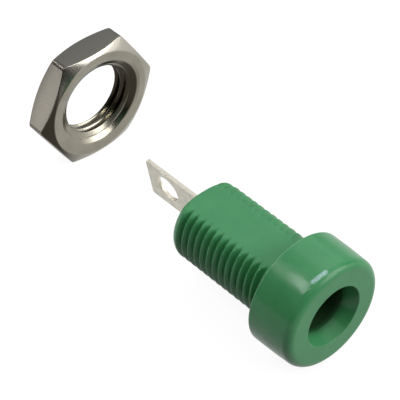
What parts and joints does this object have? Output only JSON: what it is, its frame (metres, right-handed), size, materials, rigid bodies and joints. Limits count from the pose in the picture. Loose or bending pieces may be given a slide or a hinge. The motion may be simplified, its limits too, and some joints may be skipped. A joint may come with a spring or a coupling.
{
  "type": "banana jack",
  "caption": "Panel-mount 4 mm banana jack: round insulated head, threaded shank with two flats, solder tab, and its hexagon nut standing apart.",
  "frame": {"origin": "on the jack's axis, in the plane where the back of the head meets the panel", "axes": "-Y out of the plug's mouth, +Y through the panel towards the solder tab, +Z normal to the shank's upper flat"},
  "size_m": [0.0156, 0.0375, 0.0121],
  "materials": {
    "insulator": "satin moulded nylon, green",
    "contact": "dull tin plate on brass sheet",
    "nut": "bright nickel plate on brass"
  },
  "bodies": {
    "root": {"insulator_body": "insulator", "socket_contact": "contact", "panel_nut": "nut"}
  },
  "joints": []
}
